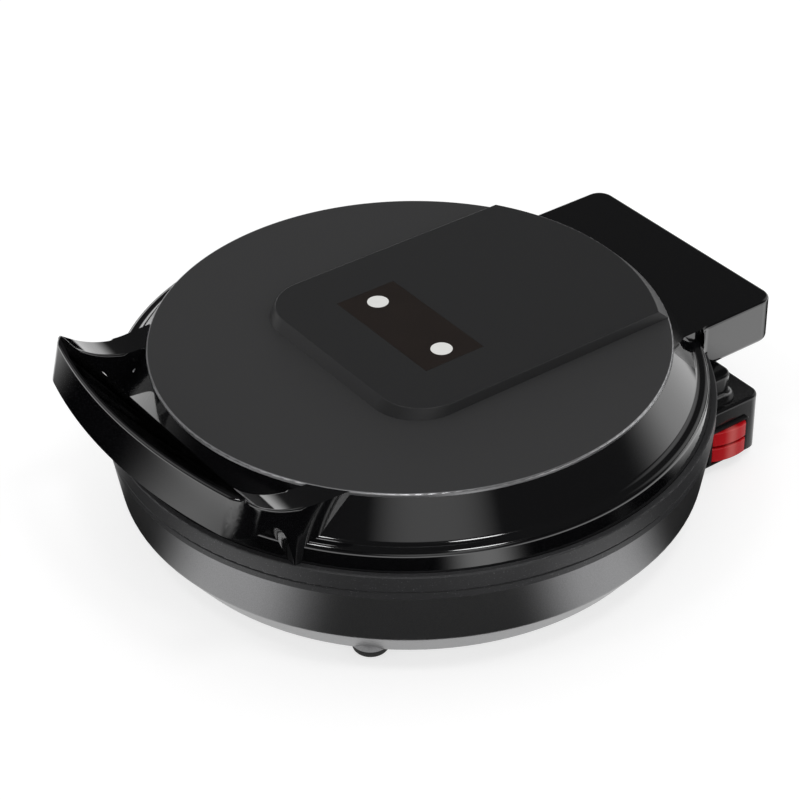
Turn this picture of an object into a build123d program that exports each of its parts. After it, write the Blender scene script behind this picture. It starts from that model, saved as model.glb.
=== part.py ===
"""Electric pancake pan: a base with a deep lower plate, and a hinged lid with a shallow upper plate.

Millimetres. +Z is up, and the origin is on the axis of the plates, on the plane that the feet stand on.
-Y is the grip, +Y the hinge and +X the switch. The lid is shown shut.
"""
import math
import os

from build123d import *

# Fits
PIN_FIT = 0.06           # a pin in the eye that turns on it, each side
SLIDE_FIT = 0.1          # a pin in its slot, each side
LOOSE = 0.4              # pieces that only pass each other
SEAT = 0.2               # a fixed piece in its recess, each side
OVER = 1.0               # a cut runs this far past the face that it opens

# Base, from the floor up
foot_height = 5.5        # rubber under the base
foot_seat = 3.3          # the screw's head sits this deep in the rubber
foot_radius = 10.4
boss_radius = 10.9
foot_inset = 7.5         # feet's circle, in from the base's foot
slope_rise = 20.0        # sloped lower edge
slope_run = 15.0
wall_rise = 32.3
wall_run = 5.0
rim_radius = 176.0       # lower plate's rim, and the top of the base wall
grip_lip = 5.7           # the grip's lower edge stands this far in front of its reach
base_wall = 2.5
slope_round = 5.0        # between the slope and the wall
sole_round = 3.2
base_window = (40.0, 4.0, 12.0)  # half width, up from the wall's foot, down from its top
floor_width = 32.0       # of the base's floor, round its opening
cover_sheet = 0.8
cover_overlap = 7.0
vent_count = 24
vent_inner = 62.0
vent_length = 30.0
vent_width = 3.0
cover_screw_start = 22.5  # angle of the first of the cover's four screws

# Plates
lower_rim = 4.2
rim_bevel = 0.6
seam = 0.5
upper_rim = 10.5
upper_rim_proud = 0.5    # the upper ring stands out past the lower one
ring_wall = 3.5
plate = 3.5              # thickness of both castings
lower_depth = 18.0       # from the lower rim down to its cooking face
upper_depth = 6.0
rim_width = 14.5         # of the lower rim, round the dish
dish_draft = 7.7
dish_round = 7.0
dish_back_round = 9.0
dish_lip_round = 1.5
dish_back_foot = 2.3     # back of the lower dish's wall, out from its foot
dish_back_lip = 2.0      # and out from its rim
upper_dish_inset = 1.0   # the upper dish is this much smaller in radius
upper_draft = 4.5
upper_dish_round = 3.0
upper_back_inset = 2.3   # back of the upper dish's wall, out from its foot
upper_back_lip = 2.5     # and out from its rim
ring_round = 0.8
post_inset = 23.5        # circle of the four plate screws, in from the dish's edge
post_radius = 6.0
plate_boss = 4.0         # height of the bosses on the castings
screw_radius = 2.0
screw_head = 4.0
screw_head_height = 2.6
small_screw_radius = 1.5
small_screw_head = 2.8
small_head_height = 1.4

# Elements, shields and sensors
tube_radius = 3.25
outer_turn_inset = 20.0  # outer turn's radius, in from the plate screws
turn_pitch = 38.0        # from the outer turn to the inner one
turn_gap_angle = 40.0    # the turns leave this much open, towards the hinge
tail = 16.0
shield_sheet = 0.8
shield_margin = 6.0      # the shield's edge, out from the outer turn
shield_lip = 8.0
shield_drop = 16.0       # from the casting to the shield
stud_radius = 2.0
stud_circle = 50.0
stud_count = 3
stud_start = 30.0        # angle of the first stud
thermostat_radius = 8.0
thermostat_height = 9.0
fuse_radius = 2.0
fuse_length = 14.0
thermostat_place = (0.0, 20.0)
fuse_place = (-30.0, -20.0)
sensor_tab_reach = 7.0   # past the thermostat's body
sensor_tab_width = 6.0
saddle_width = 5.0

# Lid
skirt_rise = 11.6        # from the upper ring's top to the edge of the shoulder
skirt_inset = 3.2        # the lid's skirt, in from the rim
skirt_draft = 1.6
ledge_width = 6.7
ledge_drop = 0.7
edge_round = 3.5
ledge_round = 2.0
shoulder_rise = 19.5
shoulder_run = 14.5      # from the ledge in to the disc's edge
disc_sheet = 2.2
lid_wall = 2.5
shoulder_top_inset = 1.6  # inside of the shoulder, in from its top
shoulder_foot_inset = 2.4  # and in from its foot
disc_round = 0.9
wire_hole_share = 0.5    # lamp wires' holes, of the lamp's radius

# Console on the lid disc
console_half = 76.8
console_front = 58.5
console_rise = 6.5
console_corner = 30.0
console_side_draft = 1.0
console_front_draft = 4.5
console_rear_draft = 6.6
console_wall = 2.0
console_round = 0.9
console_setback = 0.5    # the rear end stands in from the disc's edge
label_length = 86.0
label_width = 40.0
label_sheet = 0.8
window_radius = 6.25
window_spacing = 61.0
lens_stem_radius = 4.6
lamp_radius = 3.6
label_corner = 1.0

# Grip
grip_half_width = 98.0   # outer sides of the arms
arm_width = 18.0
grip_proud = 12.5        # outer top edge of the bar at its middle, out past the rim
bar_bow = 350.0          # the bar's bow in plan
bar_lean = 0.24          # the outer face leans out this much on its way down
bar_top = 3.4            # thickness of the bar at its top
sweep_radius = 60.0      # the arms curl up from the disc's plane
sweep_inset = 19.0       # the curl starts this far behind the front of the arm's root
grip_rise = 20.0         # top of the bar above the disc
grip_depth = 24.0        # height of the bar
grip_corner = 16.0
grip_screw_level = 94.0
grip_screw_length = 16.0
grip_seat_inset = 21.8   # flat seats of the grip's screws, in from the skirt
grip_seat_depth = 6.0
wire_window_half = 30.0
root_flare = 3.0
root_gap = 0.2           # the arm's root stands this far in front of the upper ring
root_sweep = (12.0, 6.0, 3.0)  # the underside starts down from here, and steepens, in front of the root
grip_heel_run = 57.0     # the arms are modelled this far back from their roots, inside the lid

# Hinge
pin_proud = 4.0          # the pin's middle, behind the rim
pin_z = 51.0
pin_radius = 3.0
float_travel = 10.0      # the pin can rise this far in its slots
cheek_gap = 58.0         # inner face of each cheek from the middle
hinge_sheet = 2.5
cheek_half = 5.5
cheek_foot_run = 8.0     # the cheeks' foot starts this far in front of the pin
arm_clearance = 1.5
arm_half = 4.5
knuckle_radius = 6.5
clip_sheet = 0.8
clip_radius = 5.0
groove_radius = 2.4
pin_end = 1.1            # the pin stands out past its clips
hinge_screw_spread = (18.0, 46.0)
hinge_screw_step = 0.4   # in front of the pin
hinge_screw_length = 7.0

# Hinge box of the lid
box_half = 80.0
box_run = 31.0           # from the pin back to the box's rear face
box_bottom = 60.5
box_height = 30.5
box_corner = 10.0
box_flare = 8.0
box_wall = 2.5
box_top_sheet = 3.2
box_edge_round = 2.0
box_under_round = 4.5
box_front_inset = 47.8   # the box is modelled back from here, in from the skirt
ring_clearance = 0.5
pocket_margin = 2.0
post_length = 8.0        # from the box's top down to the lid's bracket
arm_screw_x = 40.0
arm_screw_steps = (8.0, 21.0)  # behind the pin
arm_plate_steps = (2.0, 26.0)  # front and rear edge of the arms' plate, behind the pin
cover_screw_angle = 15.0
cover_screw_drop = 4.5   # below the edge of the shoulder

# Rear housing of the base
housing_half = 100.0
housing_run = 6.0        # from the pin back to the housing's rear face
shelf_height = 43.0
housing_corner = 8.0
housing_wall = 2.5
housing_round = 2.0
neck_half = 91.5
neck_step = 9.5          # the neck's rear face is this far in front of the pin
neck_height = 59.5
neck_fillet = 5.0
housing_floor = 2.0
housing_post_x = 88.0
housing_post_step = 1.5  # in front of the pin
housing_post_radius = 3.5
housing_screw_angle = 22.0
housing_screw_level = 37.5
housing_screw_length = 12.0
floor_screw_length = 12.0
slot_top_below_neck = 5.0
screw_seat_radius = 5.5
seat_inset = 4.2         # flat seats stand this far in from the bowl's outside

# Switch, seen from the right side
bezel_length = 31.0
bezel_height = 25.0
bezel_sheet = 2.0
bezel_corner = 2.0
switch_step = 20.5       # the switch and the inlet are this far in front of the pin
switch_z = 19.5
switch_depth = 22.0
switch_wall = 0.8
well_depth = 9.0
rocker_reach = 13.0      # from the pivot to the rocker's ends
rocker_height = 9.8
rocker_pitch = 11.4
rocker_gap = 0.4
rocker_crown = 4.6       # middle of the rocker's face, out from the housing
rocker_shoulder = 2.2    # ends of the rocker's face
rocker_back = 5.5
rocker_back_half = 8.0
rocker_side = 0.5        # its ends reach in to here from the pivot
rocker_round = 1.0
rocker_tilt = 7.0        # each way from the middle
rocker_pivot = 3.0       # pivot in from the housing's face
trunnion_radius = 1.0
trunnion_seat = 0.3      # length of each trunnion in its hole
tab_width = 4.8
tab_sheet = 0.8
tab_length = 7.0

# Power inlet, on the other side
inlet_length = 24.4
inlet_height = 15.8
inlet_depth = 17.0
inlet_wall = 1.6
inlet_flange = 1.6
inlet_bevel = 4.0
blade_length = 12.0
blade_width = 4.0
blade_sheet = 2.0
blade_spacing = 14.0
blade_step = 2.0         # the middle blade stands higher than the outer two

# Terminal block in the rear housing
block_length = 48.0
block_width = 9.0
block_height = 10.0
block_step = 2.0         # in front of the pin
pole_pitch = 14.0
wire_hole = 1.8
pole_groove = 1.6

# Radii that follow from the rim's, and places along Y that follow from the pin's
ring_radius = rim_radius + upper_rim_proud
wall_foot_radius = rim_radius - wall_run
base_foot_radius = wall_foot_radius - slope_run
foot_circle = base_foot_radius - foot_inset
floor_opening = base_foot_radius - floor_width
dish_radius = rim_radius - rim_width
upper_dish_radius = dish_radius - upper_dish_inset
post_circle = dish_radius - post_inset
outer_turn = post_circle - outer_turn_inset
inner_turn = outer_turn - turn_pitch
shield_radius = outer_turn + shield_margin
skirt_radius = rim_radius - skirt_inset
skirt_top_radius = skirt_radius - skirt_draft
shoulder_foot_radius = skirt_top_radius - ledge_width
disc_radius = shoulder_foot_radius - shoulder_run
grip_reach = rim_radius + grip_proud
grip_seat_radius = skirt_radius - grip_seat_inset
root_front = math.sqrt(ring_radius ** 2 - grip_half_width ** 2) + root_gap
sweep_start = root_front - sweep_inset
grip_heel = root_front - grip_heel_run
pin_y = rim_radius + pin_proud
cheek_foot_front = pin_y - cheek_foot_run
hinge_screw_y = pin_y - hinge_screw_step
box_rear = pin_y + box_run
box_front = skirt_radius - box_front_inset
arm_screw_rows = [pin_y + step for step in arm_screw_steps]
arm_plate_front, arm_plate_rear = [pin_y + step for step in arm_plate_steps]
housing_rear = pin_y + housing_run
neck_rear = pin_y - neck_step
housing_post = (housing_post_x, pin_y - housing_post_step)
switch_y = pin_y - switch_step
block_y = pin_y - block_step
middle_y = (box_rear - grip_reach - grip_lip) / 2  # of the whole, where the frame's origin is

# Levels that follow from the sizes above
base_floor = foot_height
wall_foot = base_floor + slope_rise
wall_top = wall_foot + wall_rise
rim_top = wall_top + lower_rim
lower_face = rim_top - lower_depth
ring_bottom = rim_top + seam
ring_top = ring_bottom + upper_rim
upper_face = ring_bottom + upper_depth
edge_level = ring_top + skirt_rise
shell_top = edge_level + ledge_drop + shoulder_rise
disc_top = shell_top + disc_sheet
console_top = disc_top + console_rise
box_top = box_bottom + box_height
lower_back = lower_face - plate
upper_back = upper_face + plate
cheek_outer = cheek_gap + hinge_sheet
arm_outer = cheek_gap - arm_clearance
arm_inner = arm_outer - hinge_sheet
arm_plate_top = box_top - box_top_sheet - post_length
bracket_top = shelf_height - housing_wall
cover_screw_level = edge_level - cover_screw_drop
wire_window_levels = (ring_top + 1.5, edge_level - 4.0)
well_half_length = rocker_reach + rocker_gap
well_half_height = (rocker_pitch + rocker_height) / 2 + rocker_gap
switch_half_length = well_half_length + switch_wall
switch_half_height = well_half_height + switch_wall
inlet_half_length = inlet_length / 2 + inlet_wall
inlet_half_height = inlet_height / 2 + inlet_wall
grip_angle = math.degrees(math.atan2(grip_half_width - arm_width / 2, root_front))

foot_step = foot_circle * math.sqrt(0.5)
foot_places = [(sx * foot_step, sy * foot_step) for sx, sy in ((1, 1), (-1, 1), (-1, -1), (1, -1))]

parts = {}


def revolved(points, rounds=()):
    """Solid of revolution from a closed outline of (radius, height); rounds are (corner, radius)."""
    face = make_face(Polyline(*points, close=True))
    for corner, radius in rounds:
        vertex = face.vertices().sort_by_distance((*corner, 0))[0]
        face = fillet(vertex, radius)
    return revolve(Plane.XZ * face, Axis.Z)


def upright(radius, bottom, top, x=0.0, y=0.0):
    """Upright cylinder between two levels."""
    return Pos(x, y, bottom) * Cylinder(radius, top - bottom, align=(Align.CENTER, Align.CENTER, Align.MIN))


def block(x_range, y_range, z_range):
    """Box between three pairs of limits."""
    size = [high - low for low, high in (x_range, y_range, z_range)]
    middle = [(high + low) / 2 for low, high in (x_range, y_range, z_range)]
    return Pos(*middle) * Box(*size)


def across(radius, low, high, y, z):
    """Cylinder along X between two limits."""
    return Pos((low + high) / 2, y, z) * Rot(0, 90, 0) * Cylinder(radius, high - low)


def radial(shape, radius, angle, level):
    """Place a shape so that its +Z points away from the middle, at an angle from the rear."""
    return Rot(0, 0, angle) * Pos(0, radius, level) * Rot(-90, 0, 0) * shape


def boss(radius, length):
    """Cylinder that starts at the origin and runs along +Z."""
    return upright(radius, 0, length)


def ring_points(circle, count, start=0.0):
    """Points spread evenly round the axis."""
    step = 2 * math.pi / count
    angles = [math.radians(start) + step * i for i in range(count)]
    return [(circle * math.cos(a), circle * math.sin(a)) for a in angles]


def screw(length, radius=screw_radius, head=screw_head, head_height=screw_head_height):
    """Pan-head screw, its head's seat at the origin, its shank along +Z."""
    shank = upright(radius, 0, length)
    cap = upright(head, -head_height, 0)
    cap = chamfer(cap.faces().sort_by(Axis.Z)[0].edges(), head_height * 0.3)
    slot = block((-head * 0.7, head * 0.7), (-head * 0.12, head * 0.12), (-head_height, -head_height * 0.55))
    return shank + cap - slot - Rot(0, 0, 90) * slot


def group(shapes):
    """Separate solids of like pieces, kept in one part."""
    return Compound(children=list(shapes))


cover_screw_places = ring_points(floor_opening + cover_overlap / 2, 4, cover_screw_start)
stud_places = ring_points(stud_circle, stud_count, stud_start)


# Outer forms that other pieces are cut against
def base_form(gap=0.0):
    """The whole outside of the base's bowl, as one solid, grown by a gap all round."""
    bowl = revolved([(0, base_floor - 1), (base_foot_radius + gap, base_floor - 1),
                     (base_foot_radius + gap, base_floor), (wall_foot_radius + gap, wall_foot),
                     (rim_radius + gap, wall_top), (0, wall_top)])
    return bowl + upright(rim_radius + LOOSE, wall_top - LOOSE, rim_top)


def bowl_radius(level):
    """Outer radius of the bowl's wall at a level between its foot and its top."""
    return wall_foot_radius + (rim_radius - wall_foot_radius) * (level - wall_foot) / wall_rise


def lid_form():
    """The whole outside of the lid's shell, its ring and its disc, as one solid."""
    outline = [(0, ring_bottom), (ring_radius, ring_bottom), (ring_radius, ring_top), (skirt_radius, ring_top),
               (skirt_top_radius, edge_level), (shoulder_foot_radius, edge_level + ledge_drop),
               (disc_radius, shell_top), (disc_radius, disc_top), (0, disc_top)]
    return revolved(outline, [((skirt_top_radius, edge_level), edge_round),
                              ((shoulder_foot_radius, edge_level + ledge_drop), ledge_round)])


# Base shell: one bowl with sloped lower edge, foot bosses, posts for the plate and a window to the housing
def make_base_shell():
    wall_slope = (rim_radius - wall_foot_radius) / wall_rise
    outline = [(floor_opening, base_floor), (base_foot_radius, base_floor), (wall_foot_radius, wall_foot),
               (rim_radius, wall_top), (rim_radius - base_wall, wall_top),
               (wall_foot_radius - base_wall - 0.1, wall_foot + 1.0 * wall_slope),
               (base_foot_radius - base_wall * 0.6, base_floor + base_wall),
               (floor_opening, base_floor + base_wall)]
    rounds = [((wall_foot_radius, wall_foot), slope_round), ((base_foot_radius, base_floor), dish_lip_round)]
    shell = revolved(outline, rounds)
    for x, y in foot_places:
        shell += upright(boss_radius, base_floor, base_floor + boss_radius, x, y)
    for x, y in foot_places:
        shell -= upright(screw_radius, base_floor - OVER, base_floor + boss_radius - 1, x, y)
    post_top = lower_face - plate - plate_boss
    for x, y in ring_points(post_circle, 4):
        shell += upright(post_radius, base_floor, post_top, x, y)
    for x, y in ring_points(post_circle, 4):
        shell -= upright(screw_radius + SEAT, base_floor - OVER, post_top + OVER, x, y)
        shell -= upright(screw_head + SEAT, base_floor - OVER, base_floor + 2 * screw_head_height, x, y)
    for x, y in cover_screw_places:
        shell -= upright(small_screw_radius, base_floor - OVER, base_floor + base_wall + OVER, x, y)
    half, up, down = base_window
    behind = (base_foot_radius, rim_radius + OVER)
    shell -= block((-half, half), behind, (wall_foot + up, wall_top - down))
    for side in (-1, 1):
        deep = housing_half - switch_depth - tab_length - SEAT
        limits = sorted((side * deep, side * (housing_half - housing_wall)))
        shell -= block(limits, (base_foot_radius - 16, rim_radius + OVER),
                       (switch_z - switch_half_height - LOOSE, switch_z + switch_half_height + LOOSE))
    seat_radius = bowl_radius(housing_screw_level) - seat_inset
    for side in (-1, 1):
        angle = side * housing_screw_angle
        seat = radial(boss(screw_seat_radius, seat_inset), seat_radius, angle, housing_screw_level)
        shell += seat & base_form()
        shell -= radial(boss(screw_radius + SEAT, 2 * seat_inset), seat_radius - 1, angle, housing_screw_level)
    return shell


parts["base_shell"] = make_base_shell()


# Feet: four rubber pads with rounded soles, each held by a screw from below
def make_foot():
    pad = upright(foot_radius, 0, foot_height)
    pad = fillet(pad.faces().sort_by(Axis.Z)[0].edges(), sole_round)
    pad -= upright(screw_head + SEAT, -OVER, foot_seat)
    return pad - upright(screw_radius + SEAT, -OVER, foot_height + OVER)


foot = make_foot()
foot_names = ["foot_rear_right", "foot_rear_left", "foot_front_left", "foot_front_right"]
for name, (x, y) in zip(foot_names, foot_places):
    parts[name] = Pos(x, y, 0) * foot
foot_screw = screw(foot_height - foot_seat + boss_radius - 2)
parts["foot_screws"] = group(Pos(x, y, foot_seat) * foot_screw for x, y in foot_places)


# Bottom cover: a steel disc with radial vents, under the opening in the base's floor
def make_bottom_cover():
    cover = upright(floor_opening + cover_overlap, base_floor - cover_sheet, base_floor)
    reach = (vent_inner + vent_length / 2, base_floor - cover_sheet / 2)
    slot = SlotOverall(vent_length, vent_width)
    cut = extrude(slot, cover_sheet, both=True)
    for i in range(vent_count):
        cover -= Rot(0, 0, 360 / vent_count * i) * Pos(reach[0], 0, reach[1]) * cut
    for x, y in cover_screw_places:
        cover -= upright(small_screw_radius + SEAT, base_floor - 2, base_floor + OVER, x, y)
    return cover


parts["base_bottom_cover"] = make_bottom_cover()
cover_screw = screw(base_wall + cover_sheet, small_screw_radius, small_screw_head, small_head_height)
parts["cover_screws"] = group(Pos(x, y, base_floor - cover_sheet) * cover_screw for x, y in cover_screw_places)


# Lower baking plate: a deep casting whose rim is the ring under the seam
def make_lower_plate():
    dish_foot = dish_radius - dish_draft
    under = lower_face - plate
    back_foot = dish_foot + dish_back_foot
    outline = [(0, under), (back_foot, under), (dish_radius + dish_back_lip, wall_top), (rim_radius, wall_top),
               (rim_radius, rim_top - rim_bevel), (rim_radius - rim_bevel, rim_top), (dish_radius, rim_top),
               (dish_foot, lower_face), (0, lower_face)]
    rounds = [((dish_foot, lower_face), dish_round), ((back_foot, under), dish_back_round),
              ((dish_radius, rim_top), dish_lip_round)]
    casting = revolved(outline, rounds)
    for x, y in ring_points(post_circle, 4):
        casting += upright(post_radius + 1, under - plate_boss, under + OVER, x, y)
    for x, y in ring_points(post_circle, 4):
        casting -= upright(screw_radius, under - plate_boss - OVER, under + plate / 2, x, y)
    return casting


parts["lower_baking_plate"] = make_lower_plate()
plate_screw_seat = base_floor + 2 * screw_head_height
lower_screw = screw(lower_face - plate / 2 - plate_screw_seat - 0.5)
parts["lower_plate_screws"] = group(Pos(x, y, plate_screw_seat) * lower_screw
                                    for x, y in ring_points(post_circle, 4))


# Upper baking plate: a shallow casting whose upright ring is seen above the seam
def make_upper_plate():
    dish_foot = upper_dish_radius - upper_draft
    back = upper_face + plate
    outline = [(0, upper_face), (dish_foot, upper_face), (upper_dish_radius, ring_bottom),
               (ring_radius, ring_bottom),
               (ring_radius, ring_top), (ring_radius - ring_wall, ring_top),
               (ring_radius - ring_wall, ring_bottom + plate),
               (upper_dish_radius + upper_back_lip, ring_bottom + plate),
               (dish_foot + upper_back_inset, back), (0, back)]
    rounds = [((dish_foot, upper_face), upper_dish_round), ((upper_dish_radius, ring_bottom), dish_lip_round),
              ((ring_radius, ring_bottom), ring_round), ((ring_radius, ring_top), ring_round)]
    casting = revolved(outline, rounds)
    for x, y in ring_points(post_circle, 4):
        casting += upright(post_radius + 1, back - OVER, back + plate_boss, x, y)
    for x, y in ring_points(post_circle, 4):
        casting -= upright(screw_radius, upper_face + plate / 2, back + plate_boss + OVER, x, y)
    return casting


parts["upper_baking_plate"] = make_upper_plate()


# Heating elements: one bent tube each, an outer and an inner turn joined by a return bend
def make_element(level):
    first = 90 + turn_gap_angle / 2
    last = 450 - turn_gap_angle / 2
    last_angle = math.radians(last)
    middle = (outer_turn + inner_turn) / 2
    bend = (outer_turn - inner_turn) / 2
    bend_centre = (middle * math.cos(last_angle), middle * math.sin(last_angle))
    outer = CenterArc((0, 0), outer_turn, first, last - first)
    back = CenterArc(bend_centre, bend, last, 180)
    inner = CenterArc((0, 0), inner_turn, first, last - first)
    lead_out = Line(outer @ 0, outer @ 0 - outer % 0 * tail)
    lead_in = Line(inner @ 0, inner @ 0 - inner % 0 * tail)
    path = Wire([lead_out.edge(), outer.edge(), back.edge(), inner.edge(), lead_in.edge()])
    start = path @ 0
    section = Plane(origin=start, z_dir=path % 0) * Circle(tube_radius)
    return Pos(0, 0, level) * sweep(section, path=path)


parts["lower_heating_element"] = make_element(lower_face - plate - tube_radius)
parts["upper_heating_element"] = make_element(upper_face + plate + tube_radius)


# Heat shields: dished aluminium sheets on three studs, one behind each plate
def make_shield(level, lip):
    inner = shield_radius - shield_sheet
    low, high = sorted((level, level + math.copysign(shield_sheet, lip)))
    outline = [(0, low), (shield_radius, low), (shield_radius, high), (0, high)]
    sheet = revolved(outline)
    rim_low, rim_high = sorted((level, level + lip))
    outline = [(inner, rim_low), (shield_radius, rim_low), (shield_radius, rim_high), (inner, rim_high)]
    sheet += revolved(outline)
    for x, y in stud_places:
        sheet -= upright(stud_radius, low - 1, high + 1, x, y)
    return sheet


parts["lower_heat_shield"] = make_shield(lower_back - shield_drop, shield_lip)
parts["upper_heat_shield"] = make_shield(upper_back + shield_drop, -shield_lip)
parts["lower_shield_studs"] = group(upright(stud_radius, lower_back - shield_drop - 2, lower_back, x, y)
                                    for x, y in stud_places)
parts["upper_shield_studs"] = group(upright(stud_radius, upper_back, upper_back + shield_drop + 2, x, y)
                                    for x, y in stud_places)


# Thermostats: bimetal switches with two tabs, pressed to the plates
def make_thermostat():
    body = upright(thermostat_radius, 0, thermostat_height * 0.7)
    body += upright(thermostat_radius * 0.8, thermostat_height * 0.7, thermostat_height)
    for side in (-1, 1):
        reach = thermostat_radius + sensor_tab_reach
        body += block(sorted((side * thermostat_radius * 0.5, side * reach)),
                      (-sensor_tab_width / 2, sensor_tab_width / 2), (1.5, 1.5 + tab_sheet))
    return body


thermostat = make_thermostat()
parts["lower_thermostat"] = Pos(*thermostat_place, lower_back - thermostat_height) * thermostat
upper_thermostat_level = upper_back + thermostat_height
parts["upper_thermostat"] = Pos(*thermostat_place, upper_thermostat_level) * Rot(180, 0, 0) * thermostat


# Thermal fuses: small cartridges in saddle clips, beside the thermostats
def make_fuse():
    cartridge = Rot(90, 0, 0) * Cylinder(fuse_radius, fuse_length)
    saddle = block((-fuse_radius - 1, fuse_radius + 1), (-saddle_width / 2, saddle_width / 2),
                   (-fuse_radius - 1, fuse_radius))
    return cartridge + saddle


fuse = make_fuse()
parts["lower_thermal_fuse"] = Pos(*fuse_place, lower_back - fuse_radius) * fuse
parts["upper_thermal_fuse"] = Pos(*fuse_place, upper_back + fuse_radius) * Rot(180, 0, 0) * fuse


# Lid shell: gloss shoulder and skirt in one moulding, closed on top under the disc
def make_lid_shell():
    skirt_foot = ring_bottom + plate
    inner_top = shell_top - lid_wall
    outline = [(0, inner_top), (disc_radius - shoulder_top_inset, inner_top),
               (shoulder_foot_radius - shoulder_foot_inset, edge_level - lid_wall),
               (skirt_top_radius - lid_wall, edge_level - lid_wall - 0.5), (skirt_radius - lid_wall, ring_top),
               (skirt_radius - lid_wall, skirt_foot), (skirt_radius, skirt_foot), (skirt_radius, ring_top),
               (skirt_top_radius, edge_level), (shoulder_foot_radius, edge_level + ledge_drop),
               (disc_radius, shell_top), (0, shell_top)]
    rounds = [((skirt_top_radius, edge_level), edge_round),
              ((shoulder_foot_radius, edge_level + ledge_drop), ledge_round)]
    shell = revolved(outline, rounds)
    post_foot = upper_back + plate_boss
    head_seat = shell_top - 2 * screw_head_height
    for x, y in ring_points(post_circle, 4):
        shell += upright(screw_head + SEAT + 2, post_foot, inner_top + OVER, x, y)
    for x, y in ring_points(post_circle, 4):
        shell -= upright(screw_radius + SEAT, post_foot - OVER, shell_top + OVER, x, y)
        shell -= upright(screw_head + SEAT, head_seat, shell_top + OVER, x, y)
    for side in (-1, 1):
        wire_hole_cut = upright(lamp_radius * wire_hole_share, inner_top - OVER, shell_top + OVER)
        shell -= Pos(side * window_spacing / 2, 0, 0) * wire_hole_cut
        seat = boss(screw_seat_radius, grip_seat_depth)
        shell += radial(seat, grip_seat_radius, 180 + side * grip_angle, grip_screw_level) & lid_form()
        way = boss(screw_radius + SEAT, 2 * grip_seat_depth)
        shell -= radial(way, grip_seat_radius - OVER, 180 + side * grip_angle, grip_screw_level)
        way = boss(screw_radius, 2 * lid_wall + 2)
        shell -= radial(way, skirt_radius - 2 * lid_wall, side * cover_screw_angle, cover_screw_level)
    return shell - wire_window()


def wire_window():
    """Opening for the lid's wires, through the skirt and the front of the hinge box."""
    reach = (disc_radius, skirt_radius + 2 * box_wall)
    return block((-wire_window_half, wire_window_half), reach, wire_window_levels)


parts["lid_shell"] = make_lid_shell()
upper_seat = shell_top - 2 * screw_head_height
upper_screw = Rot(180, 0, 0) * screw(upper_seat - upper_face - plate / 2 - 0.5)
parts["upper_plate_screws"] = group(Pos(x, y, upper_seat) * upper_screw
                                    for x, y in ring_points(post_circle, 4))


# Lid disc: the flat matt sheet on top, with an eased edge
def make_lid_disc():
    disc = upright(disc_radius, shell_top, disc_top)
    disc = fillet(disc.faces().sort_by(Axis.Z)[-1].edges(), disc_round)
    for side in (-1, 1):
        wire_hole_cut = upright(lamp_radius * wire_hole_share, shell_top - OVER, disc_top + OVER)
        disc -= Pos(side * window_spacing / 2, 0, 0) * wire_hole_cut
    return disc


parts["lid_disc"] = make_lid_disc()


# Console: raised spine with round front corners, drafted walls and a rear end that follows the disc
def console_outline(level, inset, height_share):
    half = console_half - console_side_draft * height_share - inset
    front = -console_front + console_front_draft * height_share + inset
    corner = console_corner - console_front_draft * height_share / 2 - inset
    rear = disc_radius + console_corner
    face = make_face(Polyline((-half, front), (half, front), (half, rear), (-half, rear), close=True))
    front_corners = face.vertices().sort_by(Axis.Y)[:2]
    return Pos(0, 0, level) * fillet(front_corners, corner)


def console_solid(inset, height):
    share = height / console_rise
    foot_outline = console_outline(disc_top, inset, 0)
    walls = loft([foot_outline, console_outline(disc_top + height, inset, share)], ruled=True)
    end_radius = disc_radius - console_setback - inset
    end = revolved([(0, disc_top), (end_radius, disc_top),
                    (end_radius - console_rear_draft * share, disc_top + height), (0, disc_top + height)])
    return walls & end


def make_console():
    cover = console_solid(0, console_rise)
    cover = fillet(cover.faces().sort_by(Axis.Z)[-1].edges(), console_round)
    cover -= console_solid(console_wall, console_rise - console_wall)
    half_length = label_length / 2 + SEAT / 2
    half_width = label_width / 2 + SEAT / 2
    recess = (console_top - label_sheet, console_top + OVER)
    cover -= block((-half_length, half_length), (-half_width, half_width), recess)
    for side in (-1, 1):
        x = side * window_spacing / 2
        cover -= upright(lens_stem_radius + SEAT, disc_top, console_top, x, 0)
    return cover


parts["console_cover"] = make_console()


# Label panel: a thin dark plate let into the console, with a round hole over each lamp
def make_label():
    size = (label_length, label_width, label_sheet)
    panel = Pos(0, 0, console_top - label_sheet / 2) * Box(*size)
    panel = fillet(panel.edges().filter_by(Axis.Z), label_corner)
    for side in (-1, 1):
        hole = upright(window_radius + SEAT / 2, console_top - 2, console_top + OVER)
        panel -= Pos(side * window_spacing / 2, 0, 0) * hole
    return panel


parts["label_panel"] = make_label()


# Window lenses and the lamps below them
def make_lens():
    stem_foot = console_top - console_wall
    lens = upright(window_radius, console_top - label_sheet, console_top)
    return lens + upright(lens_stem_radius, stem_foot, console_top - label_sheet)


def make_lamp():
    top = console_top - console_wall - 0.4
    bulb = upright(lamp_radius, disc_top, top)
    return fillet(bulb.faces().sort_by(Axis.Z)[-1].edges(), lamp_radius * 0.5)


for name, side in (("left", -1), ("right", 1)):
    parts[name + "_window_lens"] = Pos(side * window_spacing / 2, 0, 0) * make_lens()
    parts[name + "_lamp"] = Pos(side * window_spacing / 2, 0, 0) * make_lamp()


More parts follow.
